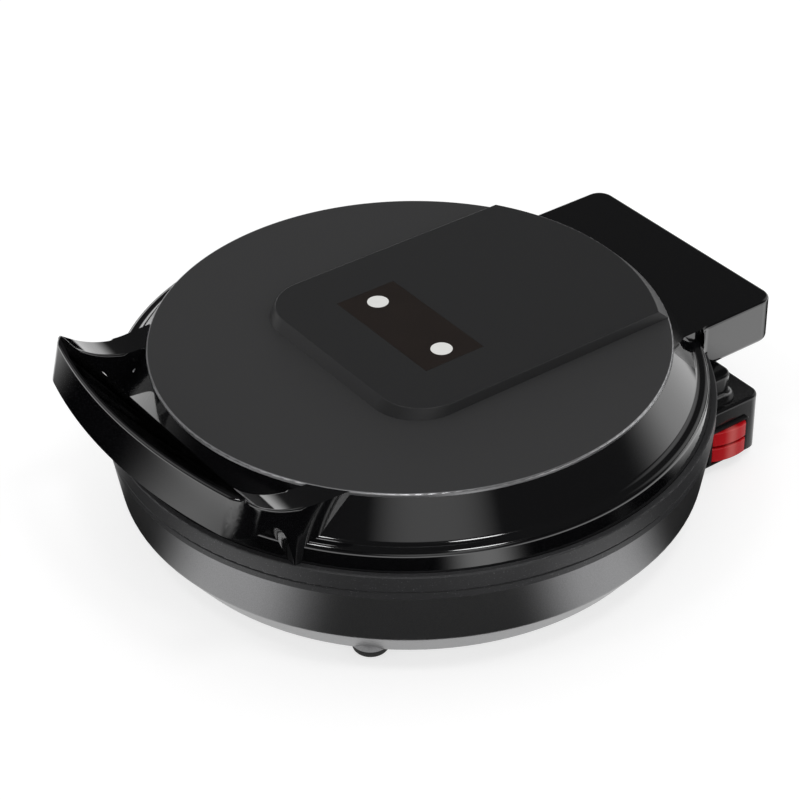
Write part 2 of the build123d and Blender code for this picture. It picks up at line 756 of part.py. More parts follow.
# Grip: a loop whose arms run out from the disc's plane and curl up to a bowed, leaning bar
def grip_plan(level, reach, half, corner):
    """Outline of the loop's outside at one level, its front a bowed line."""
    centre = bar_bow - grip_reach
    radius = reach + centre
    front = -grip_reach - 2 * bar_top
    flare_end = -root_front + screw_seat_radius
    sides = make_face(Polyline((-half - root_flare, -grip_heel), (-half, flare_end), (-half, 2 * front),
                               (half, 2 * front), (half, flare_end), (half + root_flare, -grip_heel),
                               close=True))
    plan = sides & Pos(0, centre) * Circle(radius)
    corners = plan.vertices().sort_by(Axis.Y)[:2]
    return Pos(0, 0, level) * fillet(corners, corner)


def make_grip():
    top = disc_top
    crest = disc_top + grip_rise
    under = crest - grip_depth
    climb = math.sqrt(sweep_radius ** 2 - (sweep_radius - grip_rise + 1) ** 2)
    turn = math.degrees(math.asin(climb / sweep_radius))
    curl = CenterArc((-sweep_start, top + sweep_radius), sweep_radius, 270, -turn)
    far = -grip_reach - 20
    crown = Line(curl @ 1, (far, crest))
    front = Line(crown @ 1, (far, under))
    start, bend, steep = (-root_front - step for step in root_sweep)
    below = Line(front @ 1, (start, under + 1))
    sweep_up = Bezier(below @ 1, (bend, under + 0.5), (steep, under - 11), (-root_front, ring_top + SEAT))
    close_in = Line(sweep_up @ 1, (-grip_heel, ring_top + SEAT))
    rear = Line(close_in @ 1, (-grip_heel, top))
    flat = Line(rear @ 1, curl @ 0)
    side = make_face([curl, crown, front, below, sweep_up, close_in, rear, flat])
    profile = extrude(Plane.YZ * side, grip_half_width + 20, both=True)
    low = ring_top - 1
    high = crest + 1
    reach_low = grip_reach + bar_lean * (crest - low)
    reach_high = grip_reach + bar_lean * (crest - high)
    outside = loft([grip_plan(low, reach_low, grip_half_width, grip_corner),
                    grip_plan(high, reach_high, grip_half_width, grip_corner)])
    inner_half = grip_half_width - arm_width
    hole_low = grip_plan(low, grip_reach - bar_top, inner_half, grip_corner - 4)
    hole = extrude(hole_low, high - low)
    heel_half = inner_half + root_flare
    hole += block((-heel_half, heel_half), (-grip_heel - 10, -grip_heel + 10), (low, high))
    grip = (profile & outside) - hole - lid_form()
    for side in (-1, 1):
        screw_way = boss(screw_radius, grip_screw_length + 1)
        grip -= radial(screw_way, grip_seat_radius, 180 + side * grip_angle, grip_screw_level)
    return grip


parts["grip"] = make_grip()
grip_screw = screw(grip_screw_length)
parts["grip_screws"] = group(radial(grip_screw, grip_seat_radius, 180 + side * grip_angle, grip_screw_level)
                             for side in (-1, 1))


# Hinge box of the lid: a hollow cover that flares into the skirt and swings down behind the base
def box_plan(inset, flare):
    """Plan of the box, its sides running forward into the lid's skirt."""
    half = box_half - inset
    sides = Pos(0, (box_rear - inset) / 2) * Rectangle(2 * half, box_rear - inset)
    sides = fillet(sides.vertices().sort_by(Axis.Y)[-2:], box_corner - inset)
    if not flare:
        return sides
    plan = sides + Circle(skirt_radius)
    meet = math.sqrt(skirt_radius ** 2 - half ** 2)
    inner_corners = [plan.vertices().sort_by_distance((side * half, meet, 0))[0] for side in (-1, 1)]
    return fillet(inner_corners, flare)


def make_hinge_cover():
    levels = (box_bottom - OVER, box_top + OVER)
    rear_part = block((-ring_radius, ring_radius), (box_front, box_rear + OVER), levels)
    body = extrude(Pos(0, 0, box_bottom) * box_plan(0, box_flare), box_height)
    upper = [e for e in body.edges() if e.center().Z > box_top - 0.01 and e.center().Y > box_front]
    body = fillet(upper, box_edge_round)
    lower = [e for e in body.edges() if e.center().Z < box_bottom + 0.01 and e.center().Y > box_front]
    body = fillet(lower, box_under_round) & rear_part
    beside = Circle(skirt_radius) - box_plan(0, 0)
    body -= extrude(Pos(0, 0, box_bottom - OVER) * beside, box_height + 2 * OVER)
    body -= lid_form()
    body -= upright(ring_radius + ring_clearance, box_bottom - OVER, ring_top + SEAT)
    inner_height = box_height - box_wall - box_top_sheet
    hollow = extrude(Pos(0, 0, box_bottom + box_wall) * box_plan(box_wall, 0), inner_height)
    hollow -= upright(ring_radius + ring_clearance + box_wall, box_bottom, ring_top + SEAT + box_wall)
    hollow -= upright(skirt_radius + box_wall, box_bottom, box_top)
    body -= hollow & rear_part
    sweep_reach = float_travel + cheek_half + pocket_margin
    for side in (-1, 1):
        limits = sorted((side * (arm_inner - pocket_margin), side * (cheek_outer + pocket_margin)))
        body -= block(limits, (pin_y - sweep_reach, pin_y + knuckle_radius + 1), (box_bottom - OVER, ring_top))
        for y in arm_screw_rows:
            x = side * arm_screw_x
            body += upright(screw_head, arm_plate_top, box_top - box_top_sheet + OVER, x, y)
            body -= upright(screw_radius, arm_plate_top - OVER, box_top - box_top_sheet, x, y)
        way = boss(screw_radius + SEAT, 2 * box_wall)
        body -= radial(way, skirt_radius - box_wall / 2, side * cover_screw_angle, cover_screw_level)
    return body - wire_window()


parts["hinge_cover"] = make_hinge_cover()
cover_seat_radius = skirt_radius + box_wall
cover_fixing = Rot(180, 0, 0) * screw(3 * box_wall)
parts["hinge_cover_screws"] = group(
    radial(cover_fixing, cover_seat_radius, side * cover_screw_angle, cover_screw_level) for side in (-1, 1))


# Rear housing: a low box with a narrower neck on its shelf, open to the bowl and below
def housing_form(inset):
    """The housing's outside, or its hollow when inset by the wall."""
    solids = []
    for half, rear, top in ((housing_half, housing_rear, shelf_height), (neck_half, neck_rear, neck_height)):
        plan = Pos(0, (rear - inset) / 2) * Rectangle(2 * (half - inset), rear - inset)
        plan = fillet(plan.vertices().sort_by(Axis.Y)[-2:], housing_corner - inset)
        solids.append(extrude(Pos(0, 0, base_floor) * plan, top - inset - base_floor))
    return solids[0] + solids[1]


def edges_at(body, level):
    """Edges of the housing's rear half at one level."""
    return [e for e in body.edges() if abs(e.center().Z - level) < 0.01 and e.center().Y > 1]


def make_rear_housing():
    body = housing_form(0)
    root = [e for e in edges_at(body, shelf_height)
            if abs(e.center().X) < neck_half + 0.1 and e.center().Y < neck_rear + 0.1]
    body = fillet(root, neck_fillet)
    rim = [e for e in edges_at(body, shelf_height)
           if abs(e.center().X) > housing_half - 3 or e.center().Y > housing_rear - 3]
    crown = edges_at(body, neck_height)
    body = fillet(rim + crown, housing_round)
    body -= housing_form(housing_wall)
    cheek_slot_front = cheek_foot_front - LOOSE
    for side in (-1, 1):
        x, y = side * housing_post[0], housing_post[1]
        body += upright(housing_post_radius, base_floor + housing_floor, bracket_top + OVER, x, y)
        body -= upright(small_screw_radius, base_floor, base_floor + floor_screw_length, x, y)
        pillar = boss(screw_head, housing_screw_length)
        web_size = (2 * screw_head - 2, 2 * screw_head, housing_screw_length)
        web = Pos(0, -screw_head, housing_screw_length / 2) * Box(*web_size)
        start = bowl_radius(housing_screw_level) - 1
        post = radial(pillar + web, start, side * housing_screw_angle, housing_screw_level)
        body += post & housing_form(1)
        hole = boss(screw_radius, housing_screw_length + 1)
        body -= radial(hole, start - 1, side * housing_screw_angle, housing_screw_level)
        limits = sorted((side * (cheek_gap - LOOSE), side * (cheek_outer + LOOSE)))
        levels = (bracket_top - OVER, neck_height - slot_top_below_neck)
        body -= block(limits, (cheek_slot_front, housing_rear - housing_wall), levels)
        for spread in hinge_screw_spread:
            hole = upright(screw_radius + SEAT, bracket_top - OVER, shelf_height + OVER)
            body -= Pos(side * spread, hinge_screw_y, 0) * hole
    body -= block((housing_half - housing_wall - 1, housing_half + 1),
                  (switch_y - switch_half_length - SEAT, switch_y + switch_half_length + SEAT),
                  (switch_z - switch_half_height - SEAT, switch_z + switch_half_height + SEAT))
    body -= block((-housing_half - 1, -housing_half + housing_wall + 1),
                  (switch_y - inlet_half_length - SEAT, switch_y + inlet_half_length + SEAT),
                  (switch_z - inlet_half_height - SEAT, switch_z + inlet_half_height + SEAT))
    return body - base_form()


parts["rear_housing"] = make_rear_housing()
housing_screw = screw(housing_screw_length)
housing_seat = bowl_radius(housing_screw_level) - seat_inset
parts["housing_screws"] = group(
    radial(housing_screw, housing_seat, side * housing_screw_angle, housing_screw_level) for side in (-1, 1))


# Floor of the rear housing, with its two screws
def make_housing_cover():
    slab = block((-housing_half, housing_half), (1, housing_rear), (base_floor, base_floor + housing_floor))
    cover = housing_form(housing_wall + SEAT) & slab
    for side in (-1, 1):
        hole = upright(small_screw_radius + SEAT, base_floor - OVER, base_floor + housing_floor + OVER)
        cover -= Pos(side * housing_post[0], housing_post[1], 0) * hole
    return cover - base_form(LOOSE)


parts["rear_housing_cover"] = make_housing_cover()
floor_screw = screw(floor_screw_length, small_screw_radius, small_screw_head, small_head_height)
parts["housing_cover_screws"] = group(Pos(side * housing_post[0], housing_post[1], base_floor) * floor_screw
                                      for side in (-1, 1))


# Hinge bracket of the base: a cross plate under the shelf and two slotted cheeks that rise through it
def make_base_bracket():
    rear = housing_rear - housing_wall - LOOSE
    sheet = (bracket_top - hinge_sheet, bracket_top)
    bracket = block((-cheek_outer, cheek_outer), (cheek_foot_front - 12, rear), sheet)
    bracket -= base_form(LOOSE)
    slot_top = pin_z + float_travel
    for side in (-1, 1):
        low, high = sorted((side * cheek_gap, side * cheek_outer))
        bracket += block((low, high), (cheek_foot_front, rear), (sheet[0], shelf_height + SEAT))
        cheek = (pin_y - cheek_half, pin_y + cheek_half)
        bracket += block((low, high), cheek, (shelf_height + SEAT, slot_top))
        bracket += across(cheek_half, low, high, pin_y, slot_top)
        slot_half = pin_radius + SLIDE_FIT
        bracket -= across(slot_half, low - 1, high + 1, pin_y, pin_z)
        bracket -= across(slot_half, low - 1, high + 1, pin_y, slot_top)
        bracket -= block((low - 1, high + 1), (pin_y - slot_half, pin_y + slot_half), (pin_z, slot_top))
        for spread in hinge_screw_spread:
            bracket -= upright(screw_radius, bracket_top - 5, bracket_top + 1, side * spread, hinge_screw_y)
    return bracket


parts["base_hinge_bracket"] = make_base_bracket()
hinge_screw = Rot(180, 0, 0) * screw(hinge_screw_length)
parts["base_hinge_screws"] = group(Pos(side * spread, hinge_screw_y, shelf_height) * hinge_screw
                                   for side in (-1, 1) for spread in hinge_screw_spread)


# Hinge pin with a groove near each end, and its two spring clips
def make_hinge_pin():
    half = cheek_outer + LOOSE + clip_sheet + pin_end
    pin = across(pin_radius, -half, half, pin_y, pin_z)
    pin = chamfer(pin.edges().filter_by(GeomType.CIRCLE), 0.5)
    for side in (-1, 1):
        low, high = sorted((side * (cheek_outer + LOOSE), side * (cheek_outer + LOOSE + clip_sheet)))
        pin -= across(pin_radius + 1, low, high, pin_y, pin_z) - across(groove_radius, low, high, pin_y, pin_z)
    return pin


def make_clip(side):
    low, high = sorted((side * (cheek_outer + LOOSE), side * (cheek_outer + LOOSE + clip_sheet)))
    clip = across(clip_radius, low, high, pin_y, pin_z) - across(groove_radius, low, high, pin_y, pin_z)
    mouth = groove_radius * 0.8
    return clip - block((low, high), (pin_y - mouth, pin_y + mouth), (pin_z - clip_radius, pin_z))


parts["hinge_pin"] = make_hinge_pin()
parts["pin_clips"] = group(make_clip(side) for side in (-1, 1))


# Hinge bracket of the lid: two arms with eyes on the pin, bent from a plate that is screwed into the box
def make_lid_bracket():
    plate_bottom = arm_plate_top - hinge_sheet
    bracket = block((-arm_outer, arm_outer), (arm_plate_front, arm_plate_rear), (plate_bottom, arm_plate_top))
    profile = make_face(Polyline((pin_y - arm_half, pin_z), (pin_y + arm_half, pin_z),
                                 (pin_y + arm_half, box_bottom + box_wall + 1), (arm_plate_rear, plate_bottom),
                                 (arm_plate_rear, arm_plate_top), (pin_y - arm_half, arm_plate_top), close=True))
    for side in (-1, 1):
        low, high = sorted((side * arm_inner, side * arm_outer))
        arm = Pos(low, 0, 0) * extrude(Plane.YZ * profile, high - low)
        arm += across(knuckle_radius, low, high, pin_y, pin_z)
        bracket += arm
    for side in (-1, 1):
        low, high = sorted((side * arm_inner, side * arm_outer))
        bracket -= across(pin_radius + PIN_FIT, low - 1, high + 1, pin_y, pin_z)
        for y in arm_screw_rows:
            bracket -= upright(screw_radius + SEAT, plate_bottom - 1, arm_plate_top + 1, side * arm_screw_x, y)
    return bracket


parts["lid_hinge_bracket"] = make_lid_bracket()
arm_screw = screw(hinge_sheet + post_length - 1.5)
parts["lid_hinge_screws"] = group(Pos(side * arm_screw_x, y, arm_plate_top - hinge_sheet) * arm_screw
                                  for side in (-1, 1) for y in arm_screw_rows)


# Switch: one bezel and body with a well for two rockers, and a rib between them
def make_switch_body():
    face = housing_half
    bezel = block((face, face + bezel_sheet), (switch_y - bezel_length / 2, switch_y + bezel_length / 2),
                  (switch_z - bezel_height / 2, switch_z + bezel_height / 2))
    bezel = fillet(bezel.edges().filter_by(Axis.X), bezel_corner)
    bezel = chamfer(bezel.faces().sort_by(Axis.X)[-1].edges(), bezel_sheet * 0.3)
    body = bezel + block((face - switch_depth, face),
                         (switch_y - switch_half_length, switch_y + switch_half_length),
                         (switch_z - switch_half_height, switch_z + switch_half_height))
    well = (switch_y - well_half_length, switch_y + well_half_length)
    body -= block((face - well_depth, face + bezel_sheet + OVER), well,
                  (switch_z - well_half_height, switch_z + well_half_height))
    rib_half = rocker_pitch / 2 - rocker_height / 2 - rocker_gap
    body += block((face - well_depth, face), well, (switch_z - rib_half, switch_z + rib_half))
    pivot_hole = upright(trunnion_radius + SLIDE_FIT, switch_z - switch_half_height - 1,
                         switch_z + switch_half_height + 1, face - rocker_pivot, switch_y)
    return body - pivot_hole


def make_rocker():
    """Rocker at its middle position, its face towards +X and its pivot along Z through the origin."""
    ends = rocker_pivot + rocker_shoulder
    back = rocker_pivot - rocker_back
    outline = [ThreePointArc((ends, -rocker_reach), (rocker_pivot + rocker_crown, 0), (ends, rocker_reach)),
               Polyline((ends, rocker_reach), (rocker_side, rocker_reach), (back, rocker_back_half),
                        (back, -rocker_back_half), (rocker_side, -rocker_reach), (ends, -rocker_reach))]
    plan = make_face(outline) & Circle(rocker_reach)
    rocker = extrude(Pos(0, 0, -rocker_height / 2) * plan, rocker_height)
    outer = [e for e in rocker.edges() if e.center().X > rocker_pivot + rocker_shoulder - 1
             and abs(e.center().Z) > rocker_height / 2 - 0.01 and abs(e.center().Y) < 1]
    rocker = fillet(outer, rocker_round)
    reach = rocker_height / 2 + rocker_gap + trunnion_seat
    return rocker + upright(trunnion_radius, -reach, reach)


parts["switch_body"] = make_switch_body()
rocker = make_rocker()
for name, side in (("upper_rocker", 1), ("lower_rocker", -1)):
    place = Pos(housing_half - rocker_pivot, switch_y, switch_z + side * rocker_pitch / 2)
    parts[name] = place * Rot(0, 0, -rocker_tilt) * rocker


def make_switch_tabs():
    tabs = []
    for side in (-1, 1):
        for step in (-1, 0, 1):
            y = switch_y + step * rocker_reach * 0.6
            z = switch_z + side * rocker_pitch / 2
            tab = block((housing_half - switch_depth - tab_length, housing_half - switch_depth),
                        (y - tab_sheet / 2, y + tab_sheet / 2), (z - tab_width / 2, z + tab_width / 2))
            tabs.append(tab)
    return group(tabs)


parts["switch_terminals"] = make_switch_tabs()


# Power inlet: a socket with two bevelled corners, and three blades through its back
def blade_places():
    return [(switch_y - blade_spacing / 2, switch_z - blade_step / 2), (switch_y, switch_z + blade_step),
            (switch_y + blade_spacing / 2, switch_z - blade_step / 2)]


def make_power_inlet():
    face = -housing_half
    body = block((face - inlet_flange, face), (switch_y - bezel_length / 2, switch_y + bezel_length / 2),
                 (switch_z - bezel_height / 2, switch_z + bezel_height / 2))
    body = fillet(body.edges().filter_by(Axis.X), bezel_corner)
    body += block((face, face + inlet_depth + inlet_wall),
                  (switch_y - inlet_half_length, switch_y + inlet_half_length),
                  (switch_z - inlet_half_height, switch_z + inlet_half_height))
    socket = block((face - inlet_flange - OVER, face + inlet_depth),
                   (switch_y - inlet_length / 2, switch_y + inlet_length / 2),
                   (switch_z - inlet_height / 2, switch_z + inlet_height / 2))
    upper_edges = socket.edges().filter_by(Axis.X).sort_by(Axis.Z)[-2:]
    body -= chamfer(upper_edges, inlet_bevel)
    for y, z in blade_places():
        body -= block((face + inlet_depth - OVER, face + inlet_depth + inlet_wall + OVER),
                      (y - blade_sheet / 2, y + blade_sheet / 2), (z - blade_width / 2, z + blade_width / 2))
    return body


def make_inlet_blades():
    back = -housing_half + inlet_depth
    blades = []
    for y, z in blade_places():
        blade = block((back - blade_length, back + inlet_wall + tab_length),
                      (y - blade_sheet / 2, y + blade_sheet / 2), (z - blade_width / 2, z + blade_width / 2))
        blades.append(chamfer(blade.faces().sort_by(Axis.X)[0].edges(), blade_sheet * 0.25))
    return group(blades)


parts["power_inlet"] = make_power_inlet()
parts["inlet_blades"] = make_inlet_blades()


# Terminal block on the housing's floor: three poles, each with a wire hole and a well for its screw
def make_terminal_block():
    floor = base_floor + housing_floor
    body = block((-block_length / 2, block_length / 2), (block_y - block_width / 2, block_y + block_width / 2),
                 (floor, floor + block_height))
    for step in (-1, 0, 1):
        x = step * pole_pitch
        way = Rot(90, 0, 0) * Cylinder(wire_hole, block_width + 2 * OVER)
        body -= Pos(x, block_y, floor + block_height * 0.4) * way
        body -= upright(wire_hole, floor + block_height * 0.6, floor + block_height + OVER, x, block_y)
        gap = x + pole_pitch / 2
        if step < 1:
            body -= block((gap - pole_groove / 2, gap + pole_groove / 2),
                          (block_y - block_width, block_y + block_width),
                          (floor + block_height * 0.7, floor + block_height + OVER))
    return body


parts["terminal_block"] = make_terminal_block()

os.makedirs("parts", exist_ok=True)
for name, shape in parts.items():
    placed = [Pos(0, -middle_y, 0) * solid for solid in shape.solids()]
    export_step(placed[0] if len(placed) == 1 else Compound(placed), f"parts/{name}.step")
print(len(parts), "parts")
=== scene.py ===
import math

import bmesh
import bpy
from mathutils import Matrix, Vector


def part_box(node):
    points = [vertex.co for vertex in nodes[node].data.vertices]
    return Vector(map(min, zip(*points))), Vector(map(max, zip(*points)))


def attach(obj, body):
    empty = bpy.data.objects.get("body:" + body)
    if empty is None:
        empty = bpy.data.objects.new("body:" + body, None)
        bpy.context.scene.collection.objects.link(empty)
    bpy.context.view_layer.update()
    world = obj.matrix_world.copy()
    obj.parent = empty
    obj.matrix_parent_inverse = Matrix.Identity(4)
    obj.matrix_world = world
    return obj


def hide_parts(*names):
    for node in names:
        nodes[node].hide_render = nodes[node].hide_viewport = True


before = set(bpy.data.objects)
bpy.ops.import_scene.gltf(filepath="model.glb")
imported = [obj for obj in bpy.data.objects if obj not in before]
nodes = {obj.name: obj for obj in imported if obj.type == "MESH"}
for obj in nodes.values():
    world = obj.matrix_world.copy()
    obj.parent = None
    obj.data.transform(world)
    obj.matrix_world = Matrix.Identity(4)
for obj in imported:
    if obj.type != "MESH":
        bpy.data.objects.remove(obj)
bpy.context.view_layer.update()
mm = 0.001
scene = bpy.context.scene


# Camera: a long lens in front of the cooker's right side, looking down on the lid, tipped a degree.
# It stands about 1.4 m from the middle of the lid's disc, whose axis is found from the frame.
disc_low, disc_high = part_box("lid_disc")
axis = Vector(((disc_low[0] + disc_high[0]) / 2, (disc_low[1] + disc_high[1]) / 2, 0.0))
camera_azimuth = math.radians(54.427)
camera_elevation = math.radians(35.247)
camera_roll = math.radians(1.040)
camera_place = axis + Vector((923.0, -667.6, 866.2)) * mm
focal_length = 2400.0
image_side = 800.0

right = Vector((math.cos(camera_azimuth), math.sin(camera_azimuth), 0))
forward = Vector((-math.sin(camera_azimuth) * math.cos(camera_elevation),
                  math.cos(camera_azimuth) * math.cos(camera_elevation), -math.sin(camera_elevation)))
up = right.cross(forward)
camera_x = math.cos(camera_roll) * right - math.sin(camera_roll) * up
camera_y = math.sin(camera_roll) * right + math.cos(camera_roll) * up
lens = bpy.data.cameras.new("photo camera")
lens.sensor_width = 36.0
lens.lens = lens.sensor_width * focal_length / image_side
camera = bpy.data.objects.new("photo camera", lens)
camera_turn = Matrix((camera_x, camera_y, -forward)).transposed().to_4x4()
camera.matrix_world = Matrix.Translation(camera_place) @ camera_turn
scene.collection.objects.link(camera)
scene.camera = camera
scene.view_settings.view_transform = "Standard"


# Base bowl: pressed sheet with a satin metallic paint, which shows a fine flake and soft broad reflections.
# Its lower edge slopes in to the feet, and a window at the rear opens into the housing.
class Signal:
    """An output of a shader node."""

    def __init__(self, wiring, socket):
        self.wiring = wiring
        self.socket = socket

    def math(self, operation, *others):
        return self.wiring.node("ShaderNodeMath", {"operation": operation}, dict(enumerate((self, *others))))

    def __add__(self, other):
        return self.math("ADD", other)

    __radd__ = __add__

    def __mul__(self, other):
        return self.math("MULTIPLY", other)

    __rmul__ = __mul__

    def __sub__(self, other):
        return self.math("SUBTRACT", other)

    def __rsub__(self, other):
        return (self * -1.0) + other

    def most(self, other):
        return self.math("MAXIMUM", other)

    def within(self, low, high):
        """This value brought to 0 at low and 1 at high by a soft step."""
        return self.wiring.node("ShaderNodeMapRange", {"interpolation_type": "SMOOTHSTEP"},
                                {"Value": self, "From Min": low, "From Max": high})

    def bump(self, middle, half):
        """1 where this value is at the middle, falling to 0 at a half width on each side."""
        return (self - middle).math("ABSOLUTE").within(half, 0.0)

    def part(self, letter):
        """One coordinate of this vector."""
        return self.wiring.node("ShaderNodeSeparateXYZ", {}, {"Vector": self}, letter)


class Wiring:
    """The shader nodes of a material or of the world."""

    def __init__(self, tree):
        self.tree = tree

    def node(self, kind, settings, sockets, output=0):
        made = self.tree.nodes.new(kind)
        for setting, value in settings.items():
            setattr(made, setting, value)
        for socket, value in sockets.items():
            if isinstance(value, Signal):
                self.tree.links.new(value.socket, made.inputs[socket])
            else:
                made.inputs[socket].default_value = value
        return Signal(self, made.outputs[output])

    def blend(self, share, first, second):
        """A colour between two, by a share from 0 to 1."""
        ends = [colour if isinstance(colour, Signal) else (*colour, 1.0) for colour in (first, second)]
        return self.node("ShaderNodeMix", {"data_type": "RGBA"}, {0: share, 6: ends[0], 7: ends[1]}, 2)


class Finish(Wiring):
    """A surface finish, whose patterns lie on Object coordinates."""

    def __init__(self, name, colour, roughness, **surface):
        self.material = bpy.data.materials.new(name)
        self.material.use_nodes = True
        super().__init__(self.material.node_tree)
        self.shader = self.tree.nodes["Principled BSDF"]
        self.colour = colour
        self.shader.inputs["Base Color"].default_value = (*colour, 1.0)
        self.shader.inputs["Roughness"].default_value = roughness
        for socket, value in surface.items():
            self.shader.inputs[socket.replace("_", " ")].default_value = value
        self.place = self.node("ShaderNodeTexCoord", {}, {}, "Object")

    def feed(self, socket, signal):
        self.tree.links.new(signal.socket, self.shader.inputs[socket])

    def moved(self, centre, scale):
        """Object coordinates from a centre, scaled."""
        shifted = self.node("ShaderNodeMapping", {}, {"Vector": self.place, "Location": [-c for c in centre]})
        return self.node("ShaderNodeMapping", {}, {"Vector": shifted, "Scale": scale})

    def grain(self, size, detail=2.0, stretch=(1.0, 1.0, 1.0)):
        """Noise from 0 to 1 whose features are about this size, in metres."""
        scale = [s / size for s in stretch]
        scaled = self.node("ShaderNodeMapping", {}, {"Vector": self.place, "Scale": scale})
        return self.node("ShaderNodeTexNoise", {}, {"Vector": scaled, "Scale": 1.0, "Detail": detail})

    def speckled(self, size, share):
        """The finish's colour, lighter and darker by a share in grains of this size."""
        lighter = [min(1.0, c * (1 + share)) for c in self.colour]
        darker = [c * (1 - share) for c in self.colour]
        self.feed("Base Color", self.blend(self.grain(size, 3.0).within(0.3, 0.7), darker, lighter))

    def relief(self, height, depth):
        """Surface relief of this depth in metres, from a height between 0 and 1."""
        bump = self.node("ShaderNodeBump", {}, {"Height": height, "Distance": depth, "Strength": 1.0})
        self.feed("Normal", bump)

    def onto(self, *names):
        """Give this finish to CAD nodes."""
        for name in names:
            mesh = nodes[name].data
            mesh.materials.clear()
            mesh.materials.append(self.material)


bowl_paint = Finish("bowl paint", (0.25, 0.25, 0.255), 0.3, Metallic=0.88, Specular_IOR_Level=0.6)
bowl_paint.speckled(0.0005, 0.12)
bowl_paint.feed("Roughness", bowl_paint.grain(0.0004, 3.0) * 0.06 + bowl_paint.grain(0.03) * 0.05 + 0.24)
bowl_paint.relief(bowl_paint.grain(0.0006, 2.0), 0.000006)
bowl_paint.onto("base_shell")


# Feet: four pads of black moulded rubber, screwed on from below. The soles pick up dust.
# The screws are zinc plated steel, turned and faintly uneven in tone.
rubber = Finish("foot rubber", (0.018, 0.018, 0.018), 0.75)
sole_dust = rubber.place.part("Z").within(0.0025, 0.0)
rubber.feed("Base Color", rubber.blend(sole_dust * rubber.grain(0.002, 4.0),
                                       (0.018, 0.018, 0.018), (0.09, 0.085, 0.08)))
rubber.relief(rubber.grain(0.0008, 3.0), 0.00004)
rubber.onto("foot_rear_right", "foot_rear_left", "foot_front_left", "foot_front_right")

zinc = Finish("zinc plated steel", (0.56, 0.56, 0.58), 0.3, Metallic=1.0)
zinc.speckled(0.0008, 0.1)
zinc.feed("Roughness", zinc.grain(0.0006, 3.0) * 0.2 + 0.2)
zinc.onto(*[name for name in nodes if name.endswith("_screws")])


# Bottom cover: a punched steel sheet with radial vents, rolled so that it shows long faint streaks.
# It hangs under the opening in the bowl's floor on four small screws.
cover_steel = Finish("bottom cover steel", (0.42, 0.43, 0.44), 0.38, Metallic=1.0)
cover_steel.speckled(0.001, 0.06)
rolled = cover_steel.grain(0.001, 3.0, (1.0, 0.02, 1.0))
cover_steel.feed("Roughness", rolled * 0.22 + 0.26)
cover_steel.relief(rolled, 0.00001)
cover_steel.onto("base_bottom_cover")


# Baking plates: aluminium castings with a sprayed non-stick coat, dark grey with a fine fleck.
# The ring of the upper plate and the rim of the lower one show outside, between the lid and the bowl.
coating = Finish("non-stick coat", (0.05, 0.05, 0.052), 0.42, Metallic=0.3, Specular_IOR_Level=0.6)
fleck = coating.grain(0.0007, 4.0).within(0.62, 0.72)
coating.feed("Base Color", coating.blend(fleck, (0.045, 0.045, 0.047), (0.16, 0.16, 0.165)))
coating.feed("Roughness", coating.grain(0.0009, 3.0) * 0.18 + 0.3)
coating.relief(coating.grain(0.0007, 3.0), 0.000025)
coating.onto("lower_baking_plate", "upper_baking_plate")


# Elements: tubular heaters with a dull sheath that the heat has turned brown-grey in patches.
# Behind each stands a dished aluminium shield on three studs, with a thermostat and a fuse on the casting.
sheath = Finish("element sheath", (0.17, 0.16, 0.14), 0.55, Metallic=0.8)
sheath.feed("Base Color", sheath.blend(sheath.grain(0.012, 3.0), (0.1, 0.085, 0.07), (0.26, 0.25, 0.235)))
sheath.feed("Roughness", sheath.grain(0.001, 2.0) * 0.2 + 0.45)
sheath.onto("lower_heating_element", "upper_heating_element")

shield_sheet = Finish("shield aluminium", (0.72, 0.73, 0.75), 0.3, Metallic=1.0)
shield_sheet.speckled(0.002, 0.05)
shield_sheet.feed("Roughness", shield_sheet.grain(0.001, 2.0, (1.0, 0.03, 1.0)) * 0.2 + 0.22)
shield_sheet.onto("lower_heat_shield", "upper_heat_shield")

ceramic = Finish("steatite", (0.8, 0.78, 0.72), 0.55)
ceramic.speckled(0.0012, 0.04)
ceramic.relief(ceramic.grain(0.0006, 2.0), 0.00001)
ceramic.onto("lower_thermostat", "upper_thermostat", "terminal_block")

fuse_sleeve = Finish("fuse sleeve", (0.74, 0.7, 0.6), 0.6)
fuse_sleeve.relief(fuse_sleeve.node("ShaderNodeTexWave", {"bands_direction": "Y"},
                                    {"Vector": fuse_sleeve.place, "Scale": 900.0}), 0.00005)
fuse_sleeve.onto("lower_thermal_fuse", "upper_thermal_fuse")

pin_steel = Finish("bright steel", (0.6, 0.6, 0.62), 0.22, Metallic=1.0)
pin_steel.feed("Roughness", pin_steel.grain(0.0005, 2.0, (0.05, 1.0, 1.0)) * 0.15 + 0.15)
pin_steel.onto("lower_shield_studs", "upper_shield_studs", "hinge_pin", "pin_clips")


# Lid shell: one gloss black moulding, skirt, ledge and sloped shoulder, polished like piano lacquer.
# The surface is nearly flawless: only a faint waviness bends the reflections.
gloss_black = Finish("gloss black moulding", (0.0035, 0.0035, 0.004), 0.07, Specular_IOR_Level=0.9,
                     Coat_Weight=0.9, Coat_Roughness=0.04, Coat_IOR=1.55)
gloss_black.feed("Roughness", gloss_black.grain(0.02) * 0.05 + gloss_black.grain(0.001, 2.0) * 0.02 + 0.05)
gloss_black.relief(gloss_black.grain(0.035, 0.0), 0.00002)
gloss_black.onto("lid_shell", "hinge_cover")


# Lid skin: the polished outer face of the same moulding, finer than the shell's facets, so that its
# highlights run unbroken. It is spun as a thin closed band, 0.06 mm proud of skirt, ledge and shoulder.
def settled(shape, name, mesh_name, material):
    """A finished bmesh as an object of the scene."""
    mesh = bpy.data.meshes.new(mesh_name)
    shape.to_mesh(mesh)
    shape.free()
    mesh.materials.append(material)
    piece = bpy.data.objects.new(name, mesh)
    scene.collection.objects.link(piece)
    return piece


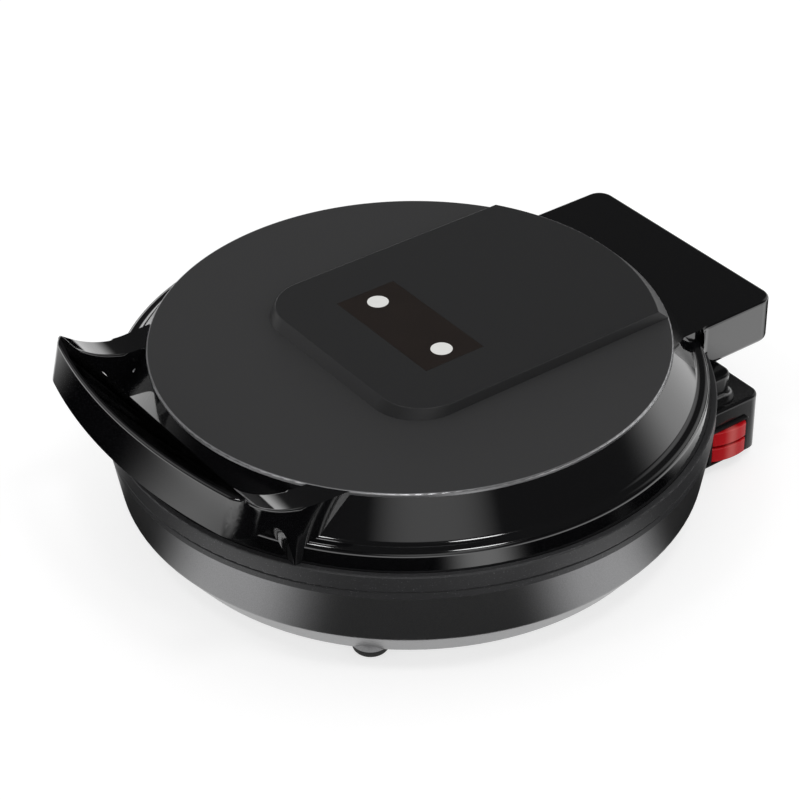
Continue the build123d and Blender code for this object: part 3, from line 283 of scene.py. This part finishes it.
def polished(shape, name, mesh_name, material, crease):
    """A finished bmesh as an object with smooth faces, but for edges sharper than a crease in degrees."""
    for face in shape.faces:
        face.smooth = True
    for edge in shape.edges:
        edge.smooth = len(edge.link_faces) != 2 or edge.calc_face_angle(0) < math.radians(crease)
    piece = settled(shape, name, mesh_name, material)
    even = piece.modifiers.new("even shading", "WEIGHTED_NORMAL")
    even.keep_sharp = True
    return piece


skin_front = [(172.86, 73.5), (171.26, 84.66), (164.56, 85.36), (150.1, 104.8)]
skin_back = [(149.7, 104.3), (164.1, 84.8), (170.7, 84.1), (172.3, 73.5)]
edge_reach = 0.00275
ledge_reach = 0.0016
round_steps = 8
turn_steps = 192
skin = bmesh.new()
loop = [skin.verts.new((radius * mm, axis.y, level * mm)) for radius, level in skin_front + skin_back]
for i in range(len(loop)):
    skin.edges.new((loop[i - 1], loop[i]))
for corner, reach in ((loop[1], edge_reach), (loop[2], ledge_reach)):
    bmesh.ops.bevel(skin, geom=[corner], offset=reach, offset_type="OFFSET", segments=round_steps,
                    profile=0.5, affect="VERTICES", material=-1)
bmesh.ops.spin(skin, geom=skin.verts[:] + skin.edges[:], cent=axis, axis=(0, 0, 1), angle=2 * math.pi,
               steps=turn_steps, use_merge=True)
bmesh.ops.remove_doubles(skin, verts=skin.verts, dist=0.000002)
bmesh.ops.recalc_face_normals(skin, faces=skin.faces)
lid_skin = polished(skin, "lid_skin", "lid skin", gloss_black.material, 40)
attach(lid_skin, "lid")


# Lid disc: a flat sheet with a matt dark coat, fine as sandblasting, and a pale metallic band at its rim, a
# painted highlight for the light on the rounded edge.
disc_coat = Finish("matt disc coat", (0.041, 0.041, 0.042), 0.52, Specular_IOR_Level=0.35)
from_axis = disc_coat.node("ShaderNodeVectorMath", {"operation": "LENGTH"},
                           {0: disc_coat.moved(centre=axis, scale=(1.0, 1.0, 0.0))}, 1)
# Painted highlight: a pale, less rough metallic band at the disc's rim, standing in for the light caught on
# its rounded edge.
painted_edge_highlight = from_axis.within(0.1489, 0.1494)
disc_tone = disc_coat.blend(disc_coat.grain(0.0005, 3.0).within(0.3, 0.7),
                            (0.036, 0.036, 0.037), (0.047, 0.047, 0.048))
disc_coat.feed("Base Color", disc_coat.blend(painted_edge_highlight, disc_tone, (0.5, 0.5, 0.51)))
disc_coat.feed("Metallic", painted_edge_highlight * 0.9)
disc_coat.feed("Roughness", disc_coat.grain(0.0006, 3.0) * 0.08 + 0.48 - painted_edge_highlight * 0.2)
disc_coat.relief(disc_coat.grain(0.0005, 3.0), 0.000012)
disc_coat.onto("lid_disc")


# Console: a satin black cover moulded in one piece and glued to the disc, with eased edges.
# A thin dark label plate is let into it, bare here, with a white lens over each lamp.
console_plastic = Finish("console plastic", (0.022, 0.022, 0.023), 0.42, Specular_IOR_Level=0.5)
console_plastic.speckled(0.0004, 0.1)
console_plastic.feed("Roughness", console_plastic.grain(0.0005, 3.0) * 0.1 + 0.36)
console_plastic.relief(console_plastic.grain(0.0004, 2.0), 0.000008)
console_plastic.onto("console_cover")

label_ink = Finish("label plate", (0.017, 0.011, 0.009), 0.34, Specular_IOR_Level=0.5)
label_ink.feed("Base Color", label_ink.blend(label_ink.grain(0.015, 2.0),
                                             (0.015, 0.0105, 0.0088), (0.021, 0.0145, 0.012)))
label_ink.feed("Roughness", label_ink.grain(0.001, 2.0) * 0.06 + 0.31)
label_ink.onto("label_panel")

lens_white = Finish("white lens", (0.88, 0.88, 0.86), 0.16, Specular_IOR_Level=0.5)
lens_white.feed("Base Color", lens_white.blend(lens_white.grain(0.004, 1.0),
                                               (0.84, 0.84, 0.81), (0.9, 0.9, 0.88)))
lens_white.feed("Roughness", lens_white.grain(0.002, 2.0) * 0.06 + 0.13)
lens_white.onto("left_window_lens", "right_window_lens")

lamp_glass = Finish("lamp glass", (0.95, 0.6, 0.35), 0.08, Transmission_Weight=0.7)
lamp_glass.feed("Roughness", lamp_glass.grain(0.001, 1.0) * 0.05 + 0.05)
lamp_glass.onto("left_lamp", "right_lamp")


# Grip: a thick gloss black loop, moulded hollow from below in the real one, whose crest is rounded off.
# Its two arms curl up from the disc's plane to a bowed bar, and are screwed to the lid's shell from inside.
def eased(node, body, finish, width, angle, segments, above=None):
    """A copy of a CAD node whose sharp edges, all or those above a level, are rounded off."""
    shape = bmesh.new()
    shape.from_mesh(nodes[node].data)
    bmesh.ops.remove_doubles(shape, verts=shape.verts, dist=0.000002)
    bmesh.ops.dissolve_limit(shape, angle_limit=math.radians(0.6), verts=shape.verts, edges=shape.edges)
    sharp = [e for e in shape.edges if len(e.link_faces) == 2 and e.calc_face_angle(0) > math.radians(angle)
             and (above is None or min(v.co.z for v in e.verts) > above)]
    bmesh.ops.bevel(shape, geom=sharp, offset=width, offset_type="OFFSET", segments=segments, profile=0.5,
                    affect="EDGES", clamp_overlap=above is None, material=-1)
    bmesh.ops.remove_doubles(shape, verts=shape.verts, dist=0.000002)
    piece = polished(shape, node + "_eased", node + " eased", finish.material, 50)
    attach(piece, body)
    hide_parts(node)


arm_foot = 0.1075
crest_round = 0.0015
eased("grip", "lid", gloss_black, crest_round, 32, 4, above=arm_foot)


# Rear housing: gloss black mouldings round the hinge, the wires and the switch, open towards the bowl.
# The hinge's brackets are folded from zinc plated sheet.
housing_black = Finish("housing moulding", (0.006, 0.006, 0.0065), 0.16, Specular_IOR_Level=0.7,
                       Coat_Weight=0.4, Coat_Roughness=0.08)
waviness = housing_black.grain(0.02) * 0.06
housing_black.feed("Roughness", waviness + housing_black.grain(0.0008, 2.0) * 0.05 + 0.12)
housing_black.relief(housing_black.grain(0.03, 0.0), 0.000015)
housing_black.onto("rear_housing", "rear_housing_cover")

bracket_steel = Finish("bracket steel", (0.5, 0.5, 0.52), 0.34, Metallic=1.0)
bracket_steel.speckled(0.003, 0.08)
bracket_steel.feed("Roughness", bracket_steel.grain(0.0008, 3.0, (1.0, 0.1, 1.0)) * 0.2 + 0.26)
bracket_steel.onto("base_hinge_bracket", "lid_hinge_bracket")


# Switch: two red rockers in a black bezel on the right side, and a socket for the cord on the left.
# The rockers are moulded in a bright red, glossy, with a paler middle that is a painted highlight. Contacts
# are brass.
rocker_red = Finish("red rocker", (0.62, 0.006, 0.012), 0.22, Specular_IOR_Level=0.6, Coat_Weight=0.3)
# Painted highlight: a pale band across each rocker's middle, standing in for the light on its crown.
painted_rocker_highlight = rocker_red.place.part("Y").bump(0.1595 + axis.y, 0.006)
rocker_red.feed("Base Color", rocker_red.blend(painted_rocker_highlight * 0.55, (0.6, 0.005, 0.011), (0.85, 0.22, 0.2)))
rocker_red.feed("Roughness", rocker_red.grain(0.002, 2.0) * 0.08 + 0.18)
rocker_round = 0.0005
for rocker in ("upper_rocker", "lower_rocker"):
    eased(rocker, rocker, rocker_red, rocker_round, 35, 2)

switch_black = Finish("switch moulding", (0.012, 0.012, 0.0125), 0.3, Specular_IOR_Level=0.5)
switch_black.feed("Roughness", switch_black.grain(0.0006, 3.0) * 0.12 + 0.25)
switch_black.relief(switch_black.grain(0.0005, 2.0), 0.00001)
switch_black.onto("switch_body", "power_inlet")

brass = Finish("contact brass", (0.8, 0.6, 0.28), 0.25, Metallic=1.0)
brass.feed("Base Color", brass.blend(brass.grain(0.003, 3.0), (0.62, 0.44, 0.2), (0.84, 0.66, 0.34)))
brass.onto("switch_terminals", "inlet_blades")


# Floor: a plain white studio floor. It looks white to the camera and in reflections, and keeps a soft shadow.
floor_white = bpy.data.materials.new("floor white")
floor_white.use_nodes = True
floor_half = 6.0
grid = bmesh.new()
bmesh.ops.create_grid(grid, x_segments=1, y_segments=1, size=floor_half)
floor = settled(grid, "floor", "floor", floor_white)
paint = Wiring(floor_white.node_tree)
paint.tree.nodes.remove(paint.tree.nodes["Principled BSDF"])


def looked_at(wiring):
    """1 for rays from the camera, or by way of a reflection or through glass."""
    camera_ray = wiring.node("ShaderNodeLightPath", {}, {}, "Is Camera Ray")
    glossy_ray = wiring.node("ShaderNodeLightPath", {}, {}, "Is Glossy Ray")
    glass_ray = wiring.node("ShaderNodeLightPath", {}, {}, "Is Transmission Ray")
    return camera_ray.most(glossy_ray).most(glass_ray)


lit = paint.node("ShaderNodeBsdfDiffuse", {}, {"Color": (0.8, 0.8, 0.8, 1.0)})
pale = paint.node("ShaderNodeBsdfDiffuse", {}, {"Color": (0.45, 0.45, 0.45, 1.0)})
glow = paint.node("ShaderNodeEmission", {}, {"Color": (1.0, 1.0, 1.0, 1.0), "Strength": 0.68})
seen = paint.node("ShaderNodeAddShader", {}, {0: pale, 1: glow})
surface = paint.node("ShaderNodeMixShader", {}, {0: looked_at(paint), 1: lit, 2: seen})
paint.tree.links.new(surface.socket, paint.tree.nodes["Material Output"].inputs["Surface"])


# Dark cards: black velvet laid on the floor round the object, as is done for pictures of gloss black goods.
# Only reflections see them. Between them the floor stays white, which gives the walls their soft light bands.
cards_inner = 0.17
cards_outer = 0.62
cards_level = 0.001
velvet = bpy.data.materials.new("velvet")
velvet.use_nodes = True
ring = bmesh.new()
inner_edge = ring.verts.new((cards_inner, axis.y, cards_level))
outer_edge = ring.verts.new((cards_outer, axis.y, cards_level))
edge = ring.edges.new((inner_edge, outer_edge))
bmesh.ops.spin(ring, geom=[inner_edge, outer_edge, edge], cent=axis, axis=(0, 0, 1), angle=2 * math.pi,
               steps=48, use_merge=True)
bmesh.ops.remove_doubles(ring, verts=ring.verts, dist=0.00001)
bmesh.ops.recalc_face_normals(ring, faces=ring.faces)
cards = settled(ring, "dark_cards", "dark cards", velvet)
cards.visible_camera = False
cards.visible_diffuse = False
cards.visible_shadow = False
nap = Wiring(velvet.node_tree)
nap.tree.nodes.remove(nap.tree.nodes["Principled BSDF"])
spot = nap.node("ShaderNodeMapping", {}, {"Vector": nap.node("ShaderNodeTexCoord", {}, {}, "Object"),
                                          "Location": tuple(-axis)})
flat = nap.node("ShaderNodeVectorMath", {"operation": "MULTIPLY"}, {0: spot, 1: (1.0, 1.0, 0.0)})
reach = nap.node("ShaderNodeVectorMath", {"operation": "LENGTH"}, {0: flat}, 1)
bearing = spot.part("Y").math("ARCTAN2", spot.part("X")) * (180 / math.pi)
far = reach.within(0.25, 0.3)
near_gaps = (bearing.bump(-78.0, 30.0) + bearing.bump(9.0, 26.0) + bearing.bump(75.0, 30.0)
             + bearing.bump(130.0, 22.0) + bearing.bump(-140.0, 24.0))
far_gaps = (bearing.bump(-17.0, 15.0) * 0.9 + bearing.bump(60.0, 22.0) + bearing.bump(24.0, 8.0) * 0.1
            + bearing.bump(110.0, 26.0) + bearing.bump(-100.0, 24.0) * 0.6 + bearing.bump(-160.0, 26.0))
gaps = near_gaps * (1 - far) + far_gaps * far
covered = (1 - gaps.within(0.0, 1.0)) * reach.within(cards_outer, 0.5)
hole = nap.node("ShaderNodeBsdfTransparent", {}, {})
black = nap.node("ShaderNodeEmission", {}, {"Color": (0.0, 0.0, 0.0, 1.0), "Strength": 0.0})
cloth = nap.node("ShaderNodeMixShader", {}, {0: covered, 1: hole, 2: black})
nap.tree.links.new(cloth.socket, nap.tree.nodes["Material Output"].inputs["Surface"])


# Light: a plain even level all round for the object's colours. Above the white horizon the studio is dark
# in reflections but for two soft panels, and two small soft lamps overhead draw the highlights on edges.
world = bpy.data.worlds.new("studio")
world.use_nodes = True
scene.world = world
studio = Wiring(world.node_tree)
direction = studio.node("ShaderNodeTexCoord", {}, {}, "Generated")


def towards(azimuth, elevation):
    """Unit vector at an angle from +X towards +Y, and an angle above the floor."""
    a, e = math.radians(azimuth), math.radians(elevation)
    return (math.cos(a) * math.cos(e), math.sin(a) * math.cos(e), math.sin(e))


def panel(azimuth, elevation, half_angle, brightness):
    """A round soft light in the studio's dark upper half, as reflections see it."""
    nearness = studio.node("ShaderNodeVectorMath", {"operation": "DOT_PRODUCT"},
                           {0: direction, 1: towards(azimuth, elevation)}, 1)
    return nearness.within(math.cos(math.radians(half_angle)), 1.0) * brightness


horizon = direction.part("Z").within(math.sin(math.radians(17)), math.sin(math.radians(4))) * 0.97 + 0.03
glints = panel(-27, 35, 24, 0.5).most(panel(95, 30, 26, 0.45)).most(panel(-150, 40, 30, 0.4))
level = horizon.most(glints)
even_level = 0.72
brightness = studio.node("ShaderNodeMix", {"data_type": "FLOAT"},
                         {0: looked_at(studio), 2: even_level, 3: level}, 0)
studio.tree.links.new(brightness.socket, studio.tree.nodes["Background"].inputs["Color"])


lamp_distance = 1.6


def lamp(name, azimuth, elevation, side, watts):
    """A round soft lamp that faces the object."""
    light = bpy.data.lights.new(name, "AREA")
    light.shape = "DISK"
    light.size = side
    light.energy = watts
    holder = bpy.data.objects.new(name, light)
    away = Vector(towards(azimuth, elevation))
    facing = away.to_track_quat("Z", "Y").to_matrix().to_4x4()
    holder.matrix_world = Matrix.Translation(away * lamp_distance) @ facing
    scene.collection.objects.link(holder)


lamp("lamp over the right", 0, 66, 0.34, 2.4)
lamp("lamp over the left", -88, 62, 0.26, 1.4)
